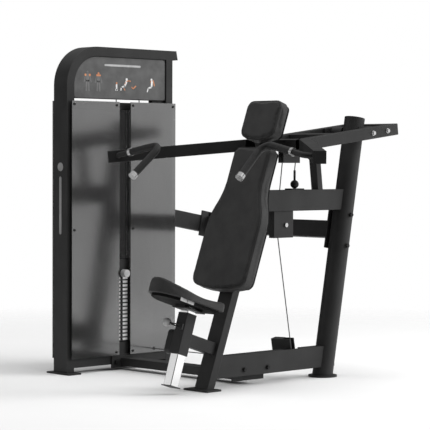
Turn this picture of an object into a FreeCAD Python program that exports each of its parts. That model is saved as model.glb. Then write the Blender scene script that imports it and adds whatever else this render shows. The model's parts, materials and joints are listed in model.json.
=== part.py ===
import FreeCAD, Part
import os
from math import cos, radians, sin, tan

import Sketcher
from FreeCAD import Placement, Rotation, Vector

# Pin-loaded shoulder press machine. Millimetres, +Z up, the user sits facing -X.
# It is laid out from the floor, the user's mid-plane and the weight tower's front edge. The finished
# parts are then moved along X, so that the origin is on the floor under the main upright's toe.
# The weight tower stands at the user's side, towards +Y.

os.makedirs("parts", exist_ok=True)
doc = FreeCAD.newDocument("shoulder_press")
sheet = doc.addObject("Spreadsheet::Sheet", "Sheet")

X_AXIS = Vector(1, 0, 0)
Y_AXIS = Vector(0, 1, 0)
Z_AXIS = Vector(0, 0, 1)


# ---------------------------------------------------------------- driving dimensions

DIMENSIONS = {
    # weight tower
    "tower_width": 698, "tower_height": 1600, "tower_front": 880, "tower_bend": 195,
    "column_wide": 46, "column_deep": 100, "tube_wall": 3, "top_overhang": 30,
    "foot_thick": 8, "tower_foot_long": 172, "tower_foot_wide": 76,
    "base_beam_low": 29, "base_beam_high": 50,
    "rail_low": 1295, "rail_high": 35, "rail_deep": 40,
    "placard_low": 1348, "placard_thick": 3, "placard_radius": 146,
    "shroud_low": 74, "shroud_top": 1332, "shroud_gap": 11, "shroud_thick": 5,
    "shroud_left": 19, "slot_left": 325, "slot_right": 399, "shroud_right": 703,
    # weight stack
    "stack_x": 355, "stack_y": 925, "stack_low": 142, "rod_spacing": 151, "rod_wide": 20,
    "plate_wide": 260, "plate_deep": 84, "plate_pitch": 19.05, "plate_gap": 0.5,
    "rod_clearance": 3, "running_fit": 0.05, "selector_wide": 22,
    "top_plate_high": 30, "block_wide": 110, "block_high": 57, "pin_wide": 9.8,
    "bumper_wide": 60, "return_x": 545, "return_y": 966, "top_cable_z": 1500,
    # main frame
    "upright_toe_x": 52.5, "pad_lean": 20.3, "upright_thick": 44, "upright_wide": 84,
    "upright_top": 1000, "beam_wide": 50, "lower_beam_low": 48, "lower_beam_high": 102,
    "upper_beam_low": 806, "upper_beam_high": 100,
    "post_base_x": 873, "post_lean": 10.3, "post_wide": 100, "post_wall": 4, "post_top": 1252,
    "cross_tall": 84, "cross_thin": 42, "base_cross_x": 387, "base_cross_low": 19,
    "mid_cross_z": 707, "flange_thick": 8, "stub_slope": 9.8,
    "rest_x": 800, "rest_thin": 35, "rest_wide": 45,
    # seat
    "seat_lean": 18, "seat_axis_x": -34, "seat_axis_z": 330, "sleeve_wide": 60, "sleeve_wall": 4.8,
    "sleeve_long": 190, "sleeve_top": 26, "seat_tube": 50, "seat_tube_low": -308,
    "seat_board_low": 54, "seat_board_thick": 12, "seat_half_wide": 118,
    "seat_front": -235, "seat_rear": 124, "seat_nose": 141, "seat_waist": 33, "seat_tail": 49,
    # upholstery
    "pad_front_x": 208, "pad_front_z": 630, "pad_thick": 58, "board_thick": 14,
    "back_low": -186, "back_high": 518, "back_half_low": 178, "back_half_high": 121,
    "taper_low": 110, "taper_high": 350, "head_low": 549, "head_high": 749, "head_half": 115,
    # press arm
    "pivot_z": 1184, "arm_slope": 7, "bar_inner": 131.6, "bar_thick": 45, "bar_high": 55,
    "bar_front": -532, "bar_rear": 132, "yoke_x": 560, "yoke_tube": 50,
    "tip_x": 100, "tip_y": 683, "tip_z": 1059, "joint_x": 570, "joint_y": 154, "joint_z": 1121,
    "v_tube": 56, "shaft_wide": 35, "hub_wide": 56, "bolt_offset": 53, "counterweight_long": 56,
    "handle_tube": 26, "grip_wide": 34,
    # pulleys and cable
    "pulley_pitch": 45, "pulley_rim": 50, "pulley_thick": 17, "cable_wide": 5,
    "axle_wide": 12, "cheek_thick": 4, "arm_pulley_x": 638, "arm_pulley_z": 1089,
    "deflector_x": 547, "deflector_z": 739, "floor_x": 665, "floor_z": 81, "base_z": 93,
}


class Size:
    """A length that knows its number and the sheet expression that it comes from."""

    def __init__(self, text, number):
        self.text = text
        self.number = number

    def __float__(self):
        return float(self.number)

    def __add__(self, other):
        return combine(self, "+", other, float(self) + float(other))

    def __radd__(self, other):
        return combine(other, "+", self, float(self) + float(other))

    def __sub__(self, other):
        return combine(self, "-", other, float(self) - float(other))

    def __rsub__(self, other):
        return combine(other, "-", self, float(other) - float(self))

    def __mul__(self, other):
        return combine(self, "*", other, float(self) * float(other))

    def __rmul__(self, other):
        return combine(other, "*", self, float(self) * float(other))

    def __truediv__(self, other):
        return combine(self, "/", other, float(self) / float(other))

    def __neg__(self):
        return combine(0, "-", self, -float(self))


def expression(value):
    return value.text if isinstance(value, Size) else repr(float(value))


def combine(left, sign, right, number):
    return Size("(%s %s %s)" % (expression(left), sign, expression(right)), number)


class Sizes:
    """Every driving dimension as an attribute, read from the sheet's cells."""


S = Sizes()
for row, (alias, number) in enumerate(DIMENSIONS.items(), start=1):
    sheet.set("A%d" % row, alias.replace("_", " "))
    sheet.set("B%d" % row, str(number))
    sheet.setAlias("B%d" % row, alias)
doc.recompute()
for alias in DIMENSIONS:
    setattr(S, alias, Size("Sheet." + alias, float(sheet.get(alias))))


def num(value):
    return float(value)


# ---------------------------------------------------------------- building blocks

nodes = []


def bind(item, name, value):
    """Give a property its value, tied to the sheet when the value comes from there."""
    if isinstance(value, Size):
        item.setExpression(name, value.text)
    else:
        setattr(item, name, value)


def place(origin, z_dir=Z_AXIS, x_dir=X_AXIS):
    """Placement whose local Z and X run along the given directions."""
    return Placement(Vector(origin), Rotation(x_dir, Vector(), z_dir, "ZXY"))


def node(label, item):
    """Name an object as a sub-part that is exported."""
    item.Label = label
    nodes.append(item)
    return item


def box(long, wide, high, corner, z_dir=Z_AXIS, x_dir=X_AXIS):
    """Block with one corner at corner."""
    item = doc.addObject("Part::Box", "block")
    bind(item, "Length", long)
    bind(item, "Width", wide)
    bind(item, "Height", high)
    item.Placement = place(corner, z_dir, x_dir)
    return item


def centred_box(long, wide, high, centre, z_dir=Z_AXIS, x_dir=X_AXIS):
    """Block with its middle at centre."""
    item = box(long, wide, high, (0, 0, 0), z_dir, x_dir)
    half = Vector(num(long) / 2, num(wide) / 2, num(high) / 2)
    turn = item.Placement.Rotation
    item.Placement = Placement(Vector(centre) - turn.multVec(half), turn)
    return item


def rod(wide, long, start, direction):
    """Round bar from start along direction."""
    item = doc.addObject("Part::Cylinder", "rod")
    bind(item, "Radius", wide / 2)
    bind(item, "Height", long)
    side = Y_AXIS if abs(Vector(direction).normalize().y) < 0.9 else X_AXIS
    item.Placement = place(start, direction, side)
    return item


def ball(wide, centre):
    item = doc.addObject("Part::Sphere", "ball")
    bind(item, "Radius", wide / 2)
    item.Placement = place(centre)
    return item


def hexagon(wide, high, start, direction):
    """Hexagon head or nut, wide between its corners."""
    item = doc.addObject("Part::Prism", "hexagon")
    item.Polygon = 6
    bind(item, "Circumradius", wide / 2)
    bind(item, "Height", high)
    side = Y_AXIS if abs(Vector(direction).normalize().y) < 0.9 else X_AXIS
    item.Placement = place(start, direction, side)
    return item


def fused(members):
    item = doc.addObject("Part::MultiFuse", "fused")
    item.Shapes = members
    return item


def group(members):
    """Separate solids kept together as one sub-part."""
    item = doc.addObject("Part::Compound", "group")
    item.Links = members
    return item


def cut(base, tools):
    item = doc.addObject("Part::Cut", "cut")
    item.Base = base
    item.Tool = tools[0] if len(tools) == 1 else fused(tools)
    return item


def shaped(shape):
    """Sub-part whose form follows a path, set from its own shape."""
    item = doc.addObject("Part::Feature", "shaped")
    item.Shape = shape
    return item


def origin_plane(body, role):
    for feature in body.Origin.OriginFeatures:
        if feature.Role == role:
            return feature
    raise ValueError(role)


def new_sketch(body, role):
    sketch = body.newObject("Sketcher::SketchObject", "sketch")
    sketch.AttachmentSupport = [(origin_plane(body, role), "")]
    sketch.MapMode = "FlatFace"
    return sketch


def outline(sketch, corners):
    """Closed polygon whose corners are tied to the sheet."""
    points = [Vector(num(x), num(y), 0) for x, y in corners]
    first = sketch.GeometryCount
    count = len(points)
    for i, point in enumerate(points):
        sketch.addGeometry(Part.LineSegment(point, points[(i + 1) % count]), False)
    for i in range(count):
        following = first + (i + 1) % count
        sketch.addConstraint(Sketcher.Constraint("Coincident", first + i, 2, following, 1))
    for i, (x, y) in enumerate(corners):
        for kind, value in (("DistanceX", x), ("DistanceY", y)):
            mark = sketch.addConstraint(
                Sketcher.Constraint(kind, -1, 1, first + i, 1, num(value)))
            if isinstance(value, Size):
                name = "%s_%d" % (kind, first + i)
                sketch.renameConstraint(mark, name)
                sketch.setExpression("Constraints." + name, value.text)


def rectangle(sketch, wide, high):
    outline(sketch, [(-wide / 2, -high / 2), (wide / 2, -high / 2),
                     (wide / 2, high / 2), (-wide / 2, high / 2)])


def circle(sketch, wide):
    mark = sketch.addGeometry(Part.Circle(Vector(), Z_AXIS, num(wide) / 2), False)
    sketch.addConstraint(Sketcher.Constraint("Coincident", mark, 3, -1, 1))
    size = sketch.addConstraint(Sketcher.Constraint("Diameter", mark, num(wide)))
    name = "Across_%d" % mark
    sketch.renameConstraint(size, name)
    if isinstance(wide, Size):
        sketch.setExpression("Constraints." + name, wide.text)


def padded(body, sketch, long, both_ways=False):
    pad = body.newObject("PartDesign::Pad", "pad")
    pad.Profile = sketch
    bind(pad, "Length", long)
    pad.Midplane = both_ways
    sketch.Visibility = False
    return pad


def square_tube(wide, high, wall, long, start, direction, x_dir=X_AXIS, corner=3.0):
    """Rectangular tube from start along direction, wide across x_dir."""
    body = doc.addObject("PartDesign::Body", "tube")
    sketch = new_sketch(body, "XY_Plane")
    rectangle(sketch, wide, high)
    rectangle(sketch, wide - 2 * wall, high - 2 * wall)
    pad = padded(body, sketch, long)
    doc.recompute()
    half_wide, half_high = num(wide) / 2, num(high) / 2
    edges = []
    for i, edge in enumerate(pad.Shape.Edges, start=1):
        middle = edge.CenterOfMass
        on_corner = abs(abs(middle.x) - half_wide) < 0.01 and abs(abs(middle.y) - half_high) < 0.01
        if on_corner:
            edges.append("Edge%d" % i)
    fillet = body.newObject("PartDesign::Fillet", "fillet")
    fillet.Base = (pad, edges)
    fillet.Radius = corner
    body.Placement = place(start, direction, x_dir)
    return body


def round_tube(wide, wall, long, start, direction):
    body = doc.addObject("PartDesign::Body", "tube")
    sketch = new_sketch(body, "XY_Plane")
    circle(sketch, wide)
    circle(sketch, wide - 2 * wall)
    padded(body, sketch, long)
    side = Y_AXIS if abs(Vector(direction).normalize().y) < 0.9 else X_AXIS
    body.Placement = place(start, direction, side)
    return body


def turned(profile, centre, axis):
    """Solid of revolution: profile corners are (radius, height) about axis."""
    body = doc.addObject("PartDesign::Body", "turned")
    sketch = new_sketch(body, "XZ_Plane")
    outline(sketch, profile)
    sketch.Visibility = False
    turn = body.newObject("PartDesign::Revolution", "turn")
    turn.Profile = sketch
    turn.ReferenceAxis = (sketch, ["V_Axis"])
    turn.Angle = 360
    side = Y_AXIS if abs(Vector(axis).normalize().y) < 0.9 else X_AXIS
    body.Placement = place(centre, axis, side)
    return body


class Corner:
    """Rounded corner of a route: tangent points, centre and axis of its arc."""

    def __init__(self, before, vertex, after, radius):
        back = (before - vertex).normalize()
        forth = (after - vertex).normalize()
        half = back.getAngle(forth) / 2
        middle = (back + forth).normalize()
        self.start = vertex + back * (radius / tan(half))
        self.end = vertex + forth * (radius / tan(half))
        self.centre = vertex + middle * (radius / sin(half))
        self.axis = back.cross(forth).normalize()
        self.arc = Part.Arc(self.start, self.centre - middle * radius, self.end)


def route(points, radii):
    """Wire through points: straight runs with tangent arcs at the inner points."""
    corners = []
    for i, radius in enumerate(radii, start=1):
        corners.append(Corner(points[i - 1], points[i], points[i + 1], radius))
    edges = []
    place_now = points[0]
    for corner in corners:
        if (corner.start - place_now).Length > 0.001:
            edges.append(Part.makeLine(place_now, corner.start))
        edges.append(corner.arc.toShape())
        place_now = corner.end
    if (points[-1] - place_now).Length > 0.001:
        edges.append(Part.makeLine(place_now, points[-1]))
    return Part.Wire(edges), corners


def swept(wire, wide):
    """Round solid of the given diameter along a wire."""
    first = wire.Edges[0]
    start = first.valueAt(first.FirstParameter)
    ahead = first.tangentAt(first.FirstParameter)
    ring = Part.Wire([Part.makeCircle(num(wide) / 2, start, ahead)])
    return wire.makePipeShell([ring], True, False)


def mirrored(shape):
    return shape.mirror(Vector(), Y_AXIS)


# ---------------------------------------------------------------- directions and main points

def leaning(angle):
    """Unit vector that rises and leans to the rear."""
    return Vector(sin(radians(num(angle))), 0, cos(radians(num(angle))))


def square_to(direction):
    """Unit vector in the mid-plane at right angles, towards the rear."""
    return Vector(direction.z, 0, -direction.x)


pad_up = leaning(S.pad_lean)
pad_back = square_to(pad_up)
post_up = leaning(S.post_lean)
post_back = square_to(post_up)
seat_up = leaning(S.seat_lean)
seat_back = square_to(seat_up)
arm_back = Vector(cos(radians(num(S.arm_slope))), 0, sin(radians(num(S.arm_slope))))
arm_up = Vector(-arm_back.z, 0, arm_back.x)

post_base = Vector(num(S.post_base_x), 0, 0)


def post_axis(height):
    return post_base + post_up * (height / post_up.z)


def upright_front(height):
    """Point on the front face of the main upright."""
    return Vector(num(S.upright_toe_x), 0, 0) + pad_up * (height / pad_up.z)


pivot = post_axis(num(S.pivot_z))
seat_axis = Vector(num(S.seat_axis_x), 0, num(S.seat_axis_z))
tower_middle_y = num(S.tower_front) + num(S.column_deep) / 2


def seat_point(rearward, upward, sideways=0.0):
    return seat_axis + seat_back * num(rearward) + seat_up * num(upward) + Y_AXIS * num(sideways)


def arm_point(rearward, upward, sideways=0.0):
    return pivot + arm_back * num(rearward) + arm_up * num(upward) + Y_AXIS * num(sideways)


pad_origin = Vector(num(S.pad_front_x), 0, num(S.pad_front_z))


def pad_point(depth, upward, sideways=0.0):
    """Point in the upholstery's frame: depth behind the pads' front face."""
    return pad_origin + pad_back * num(depth) + pad_up * num(upward) + Y_AXIS * num(sideways)


# ---------------------------------------------------------------- weight tower

def tower_bent_tube():
    """Front column and top beam in one bent rectangular tube."""
    half = num(S.column_wide) / 2
    bend = num(S.tower_bend) - half
    top = num(S.tower_height) - half
    end_x = num(S.tower_width + S.top_overhang)
    path, corners = route([Vector(half, tower_middle_y, num(S.foot_thick)),
                           Vector(half, tower_middle_y, top),
                           Vector(end_x + 20, tower_middle_y, top)], [bend])

    def skin(wide, deep):
        corner = Vector(half - wide / 2, tower_middle_y - deep / 2, num(S.foot_thick))
        ring = Part.makePolygon([corner, corner + X_AXIS * wide, corner + X_AXIS * wide + Y_AXIS * deep,
                                 corner + Y_AXIS * deep, corner])
        return path.makePipeShell([ring], True, False)

    wide, deep, wall = num(S.column_wide), num(S.column_deep), num(S.tube_wall)
    tube = shaped(skin(wide, deep).cut(skin(wide - 2 * wall, deep - 2 * wall)))
    slant = leaning(-12)
    beyond = Vector(end_x - 3, tower_middle_y, top) + square_to(slant) * 40
    end = centred_box(80, 140, 140, beyond, slant, square_to(slant))
    return node("tower_bent_tube", cut(tube, [end]))


def tower():
    tower_bent_tube()
    wall = S.tube_wall
    far_x = S.tower_width - S.column_wide / 2
    column = square_tube(
        S.column_wide, S.column_deep, wall, S.tower_height - S.column_wide - S.foot_thick,
        (num(far_x), tower_middle_y, num(S.foot_thick)), Z_AXIS)
    gusset_top = num(S.placard_low) + 4
    gusset = box(78, 30, 22, (num(S.tower_width - S.column_wide) - 78, tower_middle_y - 33, gusset_top - 22))
    node("tower_side_column", group([column, gusset]))
    inner = S.tower_width - 2 * S.column_wide
    node("tower_base_beam", square_tube(
        S.base_beam_high, S.column_deep, wall, inner,
        (num(S.column_wide), tower_middle_y, num(S.base_beam_low + S.base_beam_high / 2)),
        X_AXIS, Z_AXIS))
    rail = square_tube(
        S.rail_high, S.rail_deep, wall, inner,
        (num(S.column_wide), num(S.stack_y), num(S.rail_low + S.rail_high / 2)), X_AXIS, Z_AXIS)
    cable_hole = rod(S.cable_wide * 3, S.rail_high * 2,
                     (num(S.stack_x), num(S.stack_y), num(S.rail_low) - 10), Z_AXIS)
    node("tower_top_rail", cut(rail, [cable_hole]))


def placards():
    """Front and rear name boards, with a corner rounded inside the tube's bend."""
    inset = num(S.column_wide) + 4
    low = num(S.placard_low)
    high = num(S.tower_height) - num(S.column_wide) - 4
    right = num(S.tower_width) - num(S.column_wide) - 4
    radius = num(S.placard_radius)
    boards = []
    for y in (num(S.tower_front) + 6, num(S.tower_front) + num(S.column_deep) + 6):
        start = Vector(inset, y, high - radius)
        end = Vector(inset + radius, y, high)
        middle = Vector(inset + radius * (1 - cos(radians(45))), y, high - radius * (1 - sin(radians(45))))
        edges = [Part.makeLine(Vector(inset, y, low), start), Part.Arc(start, middle, end).toShape(),
                 Part.makeLine(end, Vector(right, y, high)),
                 Part.makeLine(Vector(right, y, high), Vector(right, y, low)),
                 Part.makeLine(Vector(right, y, low), Vector(inset, y, low))]
        boards.append(shaped(Part.Face(Part.Wire(edges)).extrude(Y_AXIS * num(S.placard_thick))))
    node("placards", group(boards))


def shrouds():
    high = S.shroud_top - S.shroud_low
    low = num(S.shroud_low)
    front_y = num(S.tower_front) - num(S.shroud_gap) - num(S.shroud_thick)
    rear_y = num(S.tower_front) + num(S.column_deep) + 6
    left = box(S.slot_left - S.shroud_left, S.shroud_thick, high, (num(S.shroud_left), front_y, low))
    right = box(S.shroud_right - S.slot_right, S.shroud_thick, high, (num(S.slot_right), front_y, low))
    run = (base_turn.start - floor_turn.end).normalize()
    cable_way = rod(S.cable_wide * 3, 120, base_turn.start - run * 100, run)
    right = cut(right, [cable_way])
    rear = box(S.tower_width, S.shroud_thick, high, (0, rear_y, low))
    node("shrouds", group([left, right, rear]))

    screws = []
    edge, top, bottom = 15, num(S.shroud_top) - 17, low + 16
    outer = (num(S.shroud_left) + edge, num(S.shroud_right) - edge - 2)
    inner = (num(S.slot_left) - edge - 4, num(S.slot_right) + edge)
    places = [(x, top) for x in outer + inner]
    places += [(outer[0], 703), (inner[1], 702), (inner[0], bottom), (inner[1], bottom)]
    for x, z in places:
        head = rod(12, 3, (x, front_y - 3, z), Y_AXIS)
        spacer = rod(16, S.shroud_gap, (x, front_y + num(S.shroud_thick), z), Y_AXIS)
        screws += [head, spacer]
    node("shroud_screws", group(screws))


def stack_holes(low, long, wide):
    """Cutting rods for the two guide rods and the selector stem."""
    tools = []
    for offset in (-num(S.rod_spacing) / 2, 0, num(S.rod_spacing) / 2):
        tools.append(rod(wide, long, (num(S.stack_x) + offset, num(S.stack_y), low), Z_AXIS))
    return tools


PLATE_COUNT = 17
stack_high = PLATE_COUNT * num(S.plate_pitch)
top_plate_low = num(S.stack_low) + stack_high
beam_top = num(S.base_beam_low) + num(S.base_beam_high)


def weight_stack():
    rods = []
    bumpers = []
    for offset in (-num(S.rod_spacing) / 2, num(S.rod_spacing) / 2):
        x = num(S.stack_x) + offset
        rods.append(rod(S.rod_wide, S.rail_low - beam_top, (x, num(S.stack_y), beam_top), Z_AXIS))
        bumper_high = num(S.stack_low) - beam_top - 0.4
        bumper = rod(S.bumper_wide, bumper_high, (x, num(S.stack_y), beam_top + 0.2), Z_AXIS)
        bore = rod(S.rod_wide + 1, bumper_high + 20, (x, num(S.stack_y), beam_top - 10), Z_AXIS)
        bumpers.append(cut(bumper, [bore]))
    stop_high = num(S.stack_low) - beam_top - 5
    bumpers.append(centred_box(90, S.plate_deep, stop_high,
                               (num(S.stack_x), num(S.stack_y), beam_top + stop_high / 2)))
    node("guide_rods", group(rods))

    plates = []
    plate_high = S.plate_pitch - S.plate_gap
    for i in range(PLATE_COUNT):
        low = num(S.stack_low) + i * num(S.plate_pitch)
        middle = (num(S.stack_x), num(S.stack_y), low + num(plate_high) / 2)
        slab = centred_box(S.plate_wide, S.plate_deep, plate_high, middle)
        pin_hole = rod(S.pin_wide + 0.6, S.plate_deep / 2, (num(S.stack_x), num(S.stack_y) -
                       num(S.plate_deep) / 2 - 1, low + num(plate_high) / 2), Y_AXIS)
        holes = stack_holes(low - 1, plate_high + 2, S.rod_wide + 2 * S.rod_clearance)
        plates.append(cut(slab, holes + [pin_hole]))
    node("weight_plates", group(plates))

    top_middle = (num(S.stack_x), num(S.stack_y), top_plate_low + num(S.top_plate_high) / 2)
    slab = centred_box(S.plate_wide, S.plate_deep, S.top_plate_high - 0.4, top_middle)
    block_low = top_plate_low + num(S.top_plate_high) - 1
    block = centred_box(S.block_wide, S.plate_deep - 10, S.block_high,
                        (num(S.stack_x), num(S.stack_y), block_low + num(S.block_high) / 2))
    stem_low = num(S.stack_low) + 8
    stem = rod(S.selector_wide, top_plate_low - stem_low + 10,
               (num(S.stack_x), num(S.stack_y), stem_low), Z_AXIS)
    bores = []
    for offset in (-num(S.rod_spacing) / 2, num(S.rod_spacing) / 2):
        bores.append(rod(S.rod_wide + 2 * S.running_fit, 200,
                         (num(S.stack_x) + offset, num(S.stack_y), top_plate_low - 20), Z_AXIS))
    pin_z = top_plate_low + num(S.top_plate_high) / 2
    bores.append(rod(S.pin_wide + 0.4, 44, (num(S.stack_x), num(S.stack_y) - 52, pin_z), Y_AXIS))
    node("top_plate", cut(fused([slab, block, stem]), bores))

    pin_start = num(S.stack_y) - 85
    knob = rod(38, 30, (num(S.stack_x), pin_start, pin_z), Y_AXIS)
    shank = rod(S.pin_wide, 44, (num(S.stack_x), pin_start + 29, pin_z), Y_AXIS)
    node("selector_pin", fused([knob, shank]))
    return bumpers


# ---------------------------------------------------------------- main frame

def big_block_below(height):
    return centred_box(3000, 3000, 400, (500, 0, height - 200))


def post_shadow():
    """Solid of the rear post's outside, for trimming the tubes that meet it."""
    return rod(S.post_wide, 1400, post_base - post_up * 60, post_up)


def upright_shadow():
    """Solid of the main upright's outside, for trimming the tubes that meet it."""
    centre = upright_front(400) + pad_back * (num(S.upright_thick) / 2)
    return centred_box(S.upright_thick, S.upright_wide, 1600, centre, pad_up, pad_back)


def cable_line():
    """Cable route in the fixed frame, from below the arm pulley to the weight stack."""
    arm_front = Vector(num(S.arm_pulley_x) - num(S.pulley_pitch), 0, num(S.arm_pulley_z))
    return [arm_front,
            Vector(num(S.deflector_x), 0, num(S.deflector_z)),
            Vector(num(S.floor_x), 0, num(S.floor_z)),
            Vector(num(S.return_x), num(S.return_y), num(S.base_z)),
            Vector(num(S.return_x), num(S.return_y), num(S.top_cable_z)),
            Vector(num(S.stack_x), num(S.stack_y), num(S.top_cable_z)),
            Vector(num(S.stack_x), num(S.stack_y), top_plate_low + num(S.top_plate_high) + 56)]


cable_points = cable_line()
cable_wire, cable_corners = route(cable_points, [num(S.pulley_pitch)] * 5)
deflector, floor_turn, base_turn, top_turn_rear, top_turn_front = cable_corners


def frame_tubes():
    start = upright_front(-60) + pad_back * (num(S.upright_thick) / 2)
    long = (num(S.upright_top) + 60) / pad_up.z
    upright = square_tube(S.upright_thick, S.upright_wide, S.tube_wall, long, start, pad_up, pad_back)
    node("front_upright", cut(upright, [big_block_below(num(S.foot_thick))]))

    lower_middle = num(S.lower_beam_low + S.lower_beam_high / 2)
    inside = upright_front(lower_middle).x + 20
    lower = square_tube(S.lower_beam_high, S.beam_wide, S.tube_wall, num(S.post_base_x) + 60 - inside,
                        (inside, 0, lower_middle), X_AXIS, Z_AXIS)
    notch = centred_box(126, 68, 210, (num(S.floor_x) - 5, 20, num(S.floor_z) + 50))
    node("lower_beam", cut(lower, [upright_shadow(), post_shadow(), notch]))

    upper_middle = num(S.upper_beam_low + S.upper_beam_high / 2)
    inside = upright_front(upper_middle).x + 22
    upper = square_tube(S.upper_beam_high, S.beam_wide, S.tube_wall, 650, (inside, 0, upper_middle),
                        X_AXIS, Z_AXIS)
    slot = centred_box(60, 18, 300, (num(S.deflector_x) + 17, 0, upper_middle))
    node("upper_beam", cut(upper, [upright_shadow(), post_shadow(), slot]))

    post_long = num(S.post_top) / post_up.z + 40
    post = round_tube(S.post_wide, S.post_wall, post_long, post_base - post_up * 40, post_up)
    shaft_hole = rod(S.shaft_wide, 160, pivot - Y_AXIS * 80, Y_AXIS)
    bolt_holes = []
    for along in (-76, 76):
        centre = post_axis(num(S.mid_cross_z)) + post_up * along
        bolt_holes.append(rod(12, 160, centre - Y_AXIS * 80, Y_AXIS))
    node("rear_post", cut(post, [big_block_below(num(S.foot_thick)), shaft_hole] + bolt_holes))

    shaft_long = 2 * (S.bar_inner - 2)
    node("pivot_shaft", rod(S.shaft_wide, shaft_long, pivot - Y_AXIS * (num(shaft_long) / 2), Y_AXIS))


def foot_plates():
    feet = []
    thick = S.foot_thick
    for x in (num(S.column_wide) / 2, num(S.tower_width) - num(S.column_wide) / 2):
        feet.append(box(S.tower_foot_wide, S.tower_foot_long, thick,
                        (x - num(S.tower_foot_wide) / 2, tower_middle_y - num(S.tower_foot_long) / 2, 0)))
    toe_x = num(S.upright_toe_x) + 10
    feet.append(box(88, 156, thick, (toe_x - 40, -78, 0)))
    feet.append(rod(140, thick, (num(S.post_base_x) + 2, 0, 0), Z_AXIS))
    node("foot_plates", group(feet))


def tube_caps():
    """Plastic end caps on the post and on the tower's top beam."""
    post_end = post_base + post_up * (num(S.post_top) / post_up.z)
    post_cap = rod(S.post_wide, 3, post_end, post_up)
    slant = leaning(-12)
    end_x = num(S.tower_width + S.top_overhang)
    top = num(S.tower_height) - num(S.column_wide) / 2
    face = Vector(end_x - 3, tower_middle_y, top) + square_to(slant) * 1.5
    tower_cap = centred_box(3, S.column_deep, S.column_wide / cos(radians(12)), face, slant,
                            square_to(slant))
    node("tube_caps", group([post_cap, tower_cap]))


def cross_beams():
    """The two cross beams that tie the seat frame to the tower, each with bolted end flanges."""
    flange = S.flange_thick
    near_y = num(S.beam_wide) / 2
    far_y = num(S.tower_front)
    beam = square_tube(S.cross_tall, S.cross_thin - 2, S.tube_wall, far_y - near_y - 2 * num(flange),
                       (num(S.base_cross_x), near_y + num(flange), num(S.base_cross_low) + 20), Y_AXIS)
    near = box(206, flange, 82, (num(S.base_cross_x) - 103, near_y, 19))
    far = box(206, flange, 57, (num(S.base_cross_x) - 103, far_y - num(flange), 12))
    node("base_cross_beam", fused([near, beam, far]))

    centre = post_axis(num(S.mid_cross_z))
    post_side = num(S.post_wide) / 2
    stub_y = tower_middle_y
    beam_long = stub_y - post_side - 2 * num(flange)
    beam = square_tube(S.cross_thin, S.cross_tall, S.tube_wall, beam_long,
                       centre + Y_AXIS * (post_side + num(flange)), Y_AXIS, post_back)
    near = centred_box(84, flange, 190, centre + Y_AXIS * (post_side + num(flange) / 2),
                       post_up, post_back)
    far = centred_box(110, flange, 132, centre + Y_AXIS * (stub_y - num(flange) / 2) - post_back * 6,
                      post_up, post_back)
    holes = [rod(12, 60, centre + post_up * along + Y_AXIS * (post_side - 20), Y_AXIS) for along in (-76, 76)]
    node("mid_cross_beam", cut(fused([near, beam, far]), holes))

    slope = num(S.stub_slope)
    along = Vector(cos(radians(slope)), 0, -sin(radians(slope)))
    end = centre + Y_AXIS * (stub_y + num(S.cross_thin) / 2) + along * 46
    long = (end.x - num(S.tower_width)) / along.x + 30
    stub = square_tube(S.cross_tall, S.cross_thin, S.tube_wall, long, end - along * long, along,
                       Vector(along.z, 0, -along.x) * -1)
    column_shadow = box(200, 300, 2000, (num(S.tower_width) - 200, num(S.tower_front) - 50, 0))
    node("tower_stub", cut(stub, [column_shadow]))


def bolt(head_at, direction):
    """Hexagon head standing on a face, with a washer under it."""
    washer = rod(24, 2, head_at, direction)
    head = hexagon(19, 8, Vector(head_at) + Vector(direction) * 2, direction)
    return fused([washer, head])


def frame_bolts():
    bolts = []
    near_y = -num(S.beam_wide) / 2
    for x in (310, 465):
        bolts.append(bolt((x, near_y, 78), -Y_AXIS))
        bolts.append(bolt((x, num(S.tower_front) - num(S.flange_thick), 40), -Y_AXIS))
    centre = post_axis(num(S.mid_cross_z))
    for along in (-76, 76):
        point = centre + post_up * along
        shank = rod(12, S.post_wide + 2 * S.flange_thick,
                    point - Y_AXIS * (num(S.post_wide) / 2 + 4), Y_AXIS)
        head = hexagon(22, 8, point - Y_AXIS * (num(S.post_wide) / 2 + 4), -Y_AXIS)
        nut = hexagon(22, 8, point + Y_AXIS * (num(S.post_wide) / 2 + 8), Y_AXIS)
        bolts.append(fused([shank, head, nut]))
    for along in (-54.2, 54.2):
        point = centre + post_up * along + Y_AXIS * (tower_middle_y - num(S.flange_thick))
        bolts.append(bolt(point, -Y_AXIS))
    node("frame_bolts", group(bolts))


def arm_rest(stack_bumpers):
    """Short post under the press arm's stop tube, and the rubber on it."""
    beam_high = num(S.upper_beam_low + S.upper_beam_high)
    stop = arm_point((num(S.rest_x) - pivot.x) / arm_back.x, -num(S.yoke_tube) / 2)
    top = stop - arm_up * 16
    start = top - arm_up * 220
    post = square_tube(S.rest_thin, S.rest_wide, S.tube_wall, 220, start, arm_up, arm_back)
    node("rest_post", cut(post, [big_block_below(beam_high)]))
    rubber = rod(34, 15.7, top, arm_up)
    node("rubber_bumpers", group(stack_bumpers + [rubber]))


# ---------------------------------------------------------------- seat

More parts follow.
